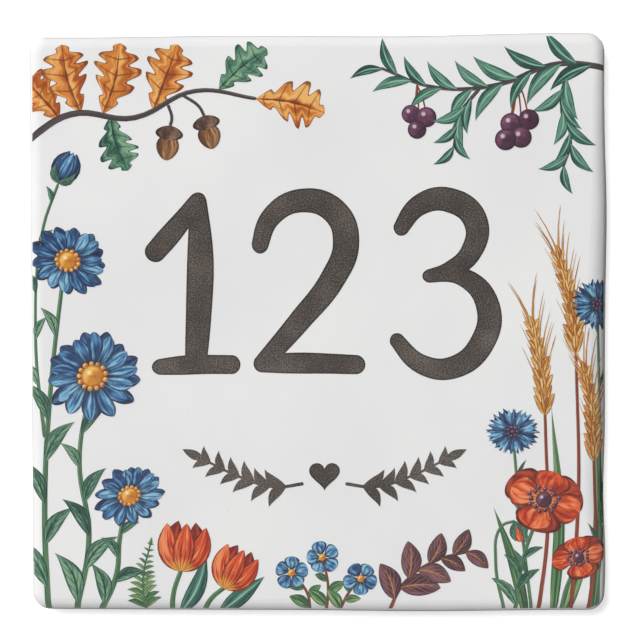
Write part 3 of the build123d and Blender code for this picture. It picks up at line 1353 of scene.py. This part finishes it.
def barley_side():
    """Barley, poppies, cornflowers and long grass up the right side."""
    grass = Motif("long_grass")
    blades = (
        ((54.0, -76.0), (50.5, -62.0), (45.5, -48.0)),
        ((61.0, -76.0), (62.5, -50.0), (60.5, -22.0)),
        ((71.0, -76.0), (73.0, -48.0), (71.0, -14.0)),
        ((64.0, -76.0), (69.0, -62.0), (75.0, -52.0)),
    )
    for place, run in enumerate(blades):
        grass.single(run, GRASS, height=0, rows=26, root=0.6, belly=1.1, lean=0.7, tint=0.2 + 0.2 * place)
    grass.lay()
    near = ((57.0, -76.0), (59.5, -54.0), (59.0, -30.0))
    barley("barley_near", near, ((58.8, -24.0), (57.8, -12.0), (55.6, -1.0)), seed=2)
    tall = ((65.5, -76.0), (67.5, -44.0), (67.0, -14.0))
    barley("barley_tall", tall, ((66.8, -8.0), (65.4, 5.0), (62.4, 17.0)), seed=9)
    far = ((70.0, -76.0), (72.0, -58.0), (71.8, -42.0))
    barley("barley_far", far, ((71.6, -36.0), (71.2, -24.0), (69.2, -13.0)), seed=17)
    stalks = Motif("poppy_plant", POPPY_STALK_LAYER)
    big = ((51.0, -76.0), (53.0, -62.0), (57.0, -50.0))
    small = ((63.0, -76.0), (64.0, -70.0), (67.0, -63.0))
    nodding = ((48.5, -76.0), (46.0, -62.0), (47.5, -53.0), (51.0, -51.5))
    for run in (big, small):
        stalks.stem(run, STALK, root=0.55, tip=0.45)
    stalks.stem(nodding, STALK, root=0.45, tip=0.35)
    stalks.leaves(big, FERN_LEAF, SAGE, count=5, length=8.5, width=2.6, start=0.1, end=0.7, angle=48,
                  seed=21)
    poppy_bud(stalks, (51.0, -51.6), (52.6, -57.0), width=4.6)
    stalks.lay()
    near = ((55.5, -76.0), (52.6, -52.0), (50.4, -28.4))
    cornflower("cornflower_near", near, size=14.0, slant=0.9, roll=10, seed=4)
    far = ((72.6, -76.0), (73.4, -38.0), (72.6, 4.6))
    cornflower("cornflower_far", far, size=14.0, slant=0.94, roll=-20, seed=6)
    poppy("poppy_big", (58.5, -46.0), size=20.0, slant=0.82, roll=-14, seed=5)
    poppy("poppy_small", (67.5, -61.0), size=14.5, slant=0.74, roll=18, seed=8)


def beech_sprig():
    """A copper beech sprig along the bottom, right of the middle."""
    sprig = Motif("beech_sprig")
    run = ((18.0, -76.0), (22.0, -68.0), (30.0, -62.0), (39.0, -59.5))
    sprig.stem(run, RUST, root=0.5, tip=0.3)
    sprig.leaves(run, ROUND_LEAF, COPPER, count=8, length=10.0, width=5.6, start=0.16, end=0.975, angle=48,
                 seed=31, tip_scale=0.7)
    sprig.lay()


def berries(branch, places, stalk_end, size, seed):
    """A cluster of berries on fine stalks from one point."""
    for place in places:
        hung = Vector(stalk_end).lerp(Vector(place), 0.5) + BERRY_STALK_BOW
        branch.stem((stalk_end, hung, place), RUST, root=0.22, tip=0.2)
    branch.dots(places, PLUM, size, seed=seed)


def willow_corner():
    """A willow branch with plum berries that hangs from the top right corner."""
    branch = Motif("willow_branch")
    main = ((76.0, 66.0), (62.0, 67.0), (46.0, 61.5), (30.0, 61.0), (16.0, 66.0))
    hanging = ((66.0, 67.2), (63.0, 58.0), (65.5, 47.0), (63.5, 40.0))
    drooping = ((42.0, 61.0), (37.0, 54.0), (35.0, 45.0))
    branch.stem(main, TWIG, root=0.8, tip=0.35)
    branch.stem(hanging, TWIG, root=0.5, tip=0.3)
    branch.stem(drooping, TWIG, root=0.5, tip=0.3)
    branch.leaves(main, LANCE_LEAF, TEAL, count=15, length=13.5, width=3.6, start=0.08, end=0.985, angle=42,
                  seed=6, tip_scale=0.7)
    branch.leaves(hanging, LANCE_LEAF, TEAL, count=9, length=11.0, width=3.2, start=0.15, end=0.97,
                  angle=36, seed=14, tip_scale=0.75)
    branch.leaves(drooping, LANCE_LEAF, TEAL, count=6, length=9.5, width=2.9, start=0.2, end=0.96, angle=34,
                  seed=23, tip_scale=0.8)
    berries(branch, ((50.0, 51.5), (54.6, 52.6), (52.6, 48.0), (48.6, 47.4)), (51.4, 63.4), size=5.2,
            seed=3)
    berries(branch, ((24.0, 54.0), (28.0, 53.2), (25.6, 50.0)), (25.6, 61.6), size=4.8, seed=5)
    branch.lay()


def acorn(twig, foot, tip, width):
    """An acorn that points from its foot to its tip, in its cup."""
    place = between(foot, tip, width)
    nut = (place(0.25), place(0.6), tip)
    twig.single(nut, NUT, height=3, rows=18, columns=7, belly=width * 0.46, lean=0.85, fullness=0.55)
    cup = (foot, place(0.2), place(0.42))
    twig.single(cup, CUP, height=4, rows=14, columns=7, belly=width * 0.56, lean=1.2, fullness=0.45)


def oak_leaf(twig, run, finish, width, tint):
    """A lobed leaf along its rib."""
    twig.single(run, finish, height=1, rows=96, columns=9, belly=width / 2, lean=1.2, fullness=0.72,
                lobes=4.5, lobe_depth=0.5, bay=2.0, sweep=0.45, tint=tint)


def oak_corner():
    """An oak twig with ochre leaves and acorns across the top left corner."""
    twig = Motif("oak_twig")
    main = ((-76.0, 47.0), (-64.0, 54.0), (-48.0, 53.0), (-32.0, 60.0), (-16.0, 58.0))
    twig.stem(main, TWIG, root=0.9, tip=0.45, height=2)
    ochre = (
        ((-67.0, 52.6), (-71.6, 58.2), (-77.0, 63.6)),
        ((-61.5, 54.2), (-65.0, 62.6), (-66.6, 72.0)),
        ((-56.0, 53.8), (-52.8, 62.6), (-51.4, 72.4)),
        ((-43.0, 54.6), (-39.8, 63.0), (-36.4, 72.0)),
        ((-16.4, 58.0), (-7.4, 57.2), (1.6, 54.4)),
    )
    for place, run in enumerate(ochre):
        oak_leaf(twig, run, OCHRE, width=12.6, tint=0.2 + 0.15 * place)
    green = (
        ((-54.0, 53.8), (-52.6, 46.6), (-49.4, 39.4)),
        ((-26.0, 60.2), (-20.4, 65.8), (-13.4, 71.0)),
    )
    for place, run in enumerate(green):
        oak_leaf(twig, run, FOREST, width=10.5, tint=0.4 + 0.2 * place)
    for stalk, tip in (
        (((-39.0, 56.4), (-38.0, 53.0), (-38.4, 51.0)), (-39.6, 42.0)),
        (((-35.0, 58.8), (-31.0, 56.0), (-29.6, 53.6)), (-27.4, 45.0)),
    ):
        twig.stem(stalk, TWIG, root=0.4, tip=0.4, height=2)
        acorn(twig, stalk[-1], tip, width=6.4)
    twig.lay()


daisy_side()
tulip_bed()
little_flowers()
beech_sprig()
fern()
barley_side()
willow_corner()
oak_corner()


# Stage, light and camera

# A wall close behind the tile, and a floor below it
WALL_GAP = 0.4 * MM
WALL_HALF = 0.5
WALL_GLOW = 0.58
FLOOR_DROP = 25 * MM
FLOOR_HALF = 4.0
FLOOR_GLOW = 0.85
BACKDROP_COLOUR = 0.72
BACKDROP_BOUNCE = 0.2

# Dark cards against the wall beside the tile, seen only in reflection: they paint a dark reflected line,
# standing in for shade, along the tile's glazed edges
CARD_GAP = 0.1 * MM
CARD_NEAR = 1.0 * MM  # clear of the tile
CARD_RIGHT_WIDTH = 60 * MM
CARD_LOW_WIDTH = 8 * MM
CARD_LEFT_WIDTH = 5 * MM
CARD_TOP_WIDTH = 8 * MM
CARD_COLOUR = 0.02

# Lamps, in metres and watts, both aimed at the origin
KEY_PLACE = (-0.78, -2.2, 0.82)
KEY_SIZE = 0.75
KEY_WATTS = 40.4
REAR_PLACE = (0.58, 0.95, 0.4)
REAR_SIZE = 0.4
REAR_WATTS = 12.5

# The room's own light
ROOM_DARK = 0.03  # on the right
ROOM_BRIGHT = 1.3  # on the left
ROOM_LEFT = Vector((-0.95, -0.2, 0.2)).normalized()

# The camera, straight on: its square frame is this wide where most of the tile's rim is widest
FRAME_WIDTH = 167.5 * MM
ROLL_DEPTH = 3.4 * MM  # from the face back to there
CAMERA_LENS_MM = 85.0
CAMERA_SENSOR_MM = 36.0
CAMERA_ASIDE = 0.44 * MM
CAMERA_UP = 0.58 * MM
CAMERA_CLIP = 10 * MM


def looking_rays(graph):
    """1 for what the camera sees, straight or by reflection, and 0 for light on its way to a surface."""
    rays = graph.add("ShaderNodeLightPath")
    looking = graph.out(rays, "Is Camera Ray")
    for other in ("Is Glossy Ray", "Is Transmission Ray"):
        looking = graph.highest(looking, graph.out(rays, other))
    return looking


def backdrop_finish(name, glow):
    """White that keeps the tile's shadow; from behind, the camera looks through it."""
    paint = Paint(name)
    plain = paint.get("ShaderNodeBsdfDiffuse", Color=grey(BACKDROP_BOUNCE))
    shaded = paint.get("ShaderNodeBsdfDiffuse", Color=grey(BACKDROP_COLOUR))
    lit = paint.get("ShaderNodeEmission", Color=grey(1.0), Strength=glow)
    bright = paint.fed("ShaderNodeAddShader", (shaded, lit))
    shown = paint.fed("ShaderNodeMixShader", (looking_rays(paint), plain, bright))
    straight = paint.get("ShaderNodeLightPath", output="Is Camera Ray")
    behind = paint.get("ShaderNodeNewGeometry", output="Backfacing") * straight
    clear = paint.get("ShaderNodeBsdfTransparent")
    paint.add("ShaderNodeOutputMaterial", Surface=paint.fed("ShaderNodeMixShader", (behind, shown, clear)))
    return paint.material


def dark_finish(name):
    """A plain dark matt paint."""
    paint = Paint(name)
    matt = paint.get("ShaderNodeBsdfDiffuse", Color=grey(CARD_COLOUR))
    paint.add("ShaderNodeOutputMaterial", Surface=matt)
    return paint.material


def stage_sheet(name, corners, finish):
    """A flat sheet of the stage, by its four corners."""
    mesh = bpy.data.meshes.new(name)
    mesh.from_pydata(corners, [], [(0, 1, 2, 3)])
    mesh.materials.append(finish)
    piece = bpy.data.objects.new(name, mesh)
    bpy.context.scene.collection.objects.link(piece)
    return piece


def upright(y, left, bottom, right, top):
    """The corners of a sheet that faces the viewer."""
    return [(left, y, bottom), (right, y, bottom), (right, y, top), (left, y, top)]


floor_z = TILE_LOW.z - FLOOR_DROP
wall_y = BACK_Y + WALL_GAP
wall_white = backdrop_finish("wall_white", WALL_GLOW)
floor_white = backdrop_finish("floor_white", FLOOR_GLOW)
wall = stage_sheet("wall", upright(wall_y, -WALL_HALF, floor_z, WALL_HALF, WALL_HALF), wall_white)
wall.visible_diffuse = False  # light passes through the wall, so that the tile's back isn't in the dark
wall.visible_shadow = False

# The cards are seen only in the tile's glaze, where they draw a dark line along its edge: a painted dark
# reflection, standing in for shade
card_dark = dark_finish("card_dark")
left, right = TILE_LOW.x - CARD_NEAR, TILE_HIGH.x + CARD_NEAR
below, above = TILE_LOW.z - CARD_NEAR, TILE_HIGH.z + CARD_NEAR
CARDS = {
    "card_right": (right, below, right + CARD_RIGHT_WIDTH, TILE_HIGH.z),
    "card_low": (TILE_LOW.x, below - CARD_LOW_WIDTH, right + CARD_RIGHT_WIDTH, below),
    "card_left": (left - CARD_LEFT_WIDTH, TILE_LOW.z, left, TILE_HIGH.z),
    "card_top": (TILE_LOW.x, above, TILE_HIGH.x, above + CARD_TOP_WIDTH),
}
for name, edges in CARDS.items():
    card = stage_sheet(name, upright(wall_y - CARD_GAP, *edges), card_dark)
    for kind in ("camera", "diffuse", "transmission", "volume_scatter", "shadow"):
        setattr(card, "visible_" + kind, False)

floor_corners = [(x * FLOOR_HALF, y * FLOOR_HALF, floor_z) for x, y in ((-1, -1), (1, -1), (1, 1), (-1, 1))]
stage_sheet("floor", floor_corners, floor_white)


def soft_lamp(name, place, size, watts):
    """A round lamp that looks at the origin."""
    lamp = bpy.data.lights.new(name, "AREA")
    lamp.shape = "DISK"
    lamp.size = size
    lamp.energy = watts
    holder = bpy.data.objects.new(name, lamp)
    holder.location = place
    holder.rotation_euler = (-Vector(place)).to_track_quat("-Z", "Y").to_euler()
    bpy.context.scene.collection.objects.link(holder)
    return holder


key = soft_lamp("key_upper_left", KEY_PLACE, KEY_SIZE, KEY_WATTS)
key.visible_glossy = False  # no glare on the print
soft_lamp("rear_fill", REAR_PLACE, REAR_SIZE, REAR_WATTS)


def soft_room():
    """A room that is white to look at and lights the tile from the left."""
    world = bpy.data.worlds.new("soft_room")
    bpy.context.scene.world = world
    world.use_nodes = True
    room = Graph(world.node_tree)
    room.tree.nodes.clear()
    looking = looking_rays(room)
    heading = room.get("ShaderNodeTexCoord", output="Generated")
    lean = room.fed("ShaderNodeVectorMath", (heading, ROOM_LEFT), operation="DOT_PRODUCT")
    glow = room.ease(lean, 0.0, 1.0) * (ROOM_BRIGHT - ROOM_DARK) + ROOM_DARK
    strength = looking * (1.0 - glow) + glow
    sky = room.get("ShaderNodeBackground", Color=grey(1.0), Strength=strength)
    room.add("ShaderNodeOutputWorld", Surface=sky)


soft_room()

camera = bpy.data.cameras.new("camera")
camera.lens = CAMERA_LENS_MM
camera.sensor_width = CAMERA_SENSOR_MM
camera.clip_start = CAMERA_CLIP
camera_distance = FRAME_WIDTH * CAMERA_LENS_MM / CAMERA_SENSOR_MM
viewer = bpy.data.objects.new("camera", camera)
viewer.location = (CAMERA_ASIDE, FACE_Y + ROLL_DEPTH - camera_distance, CAMERA_UP)
viewer.rotation_euler = (math.pi / 2, 0.0, 0.0)
bpy.context.scene.collection.objects.link(viewer)
bpy.context.scene.camera = viewer
bpy.context.scene.view_settings.view_transform = "Standard"

for shape in TEMPLATES:
    bpy.data.objects.remove(shape)
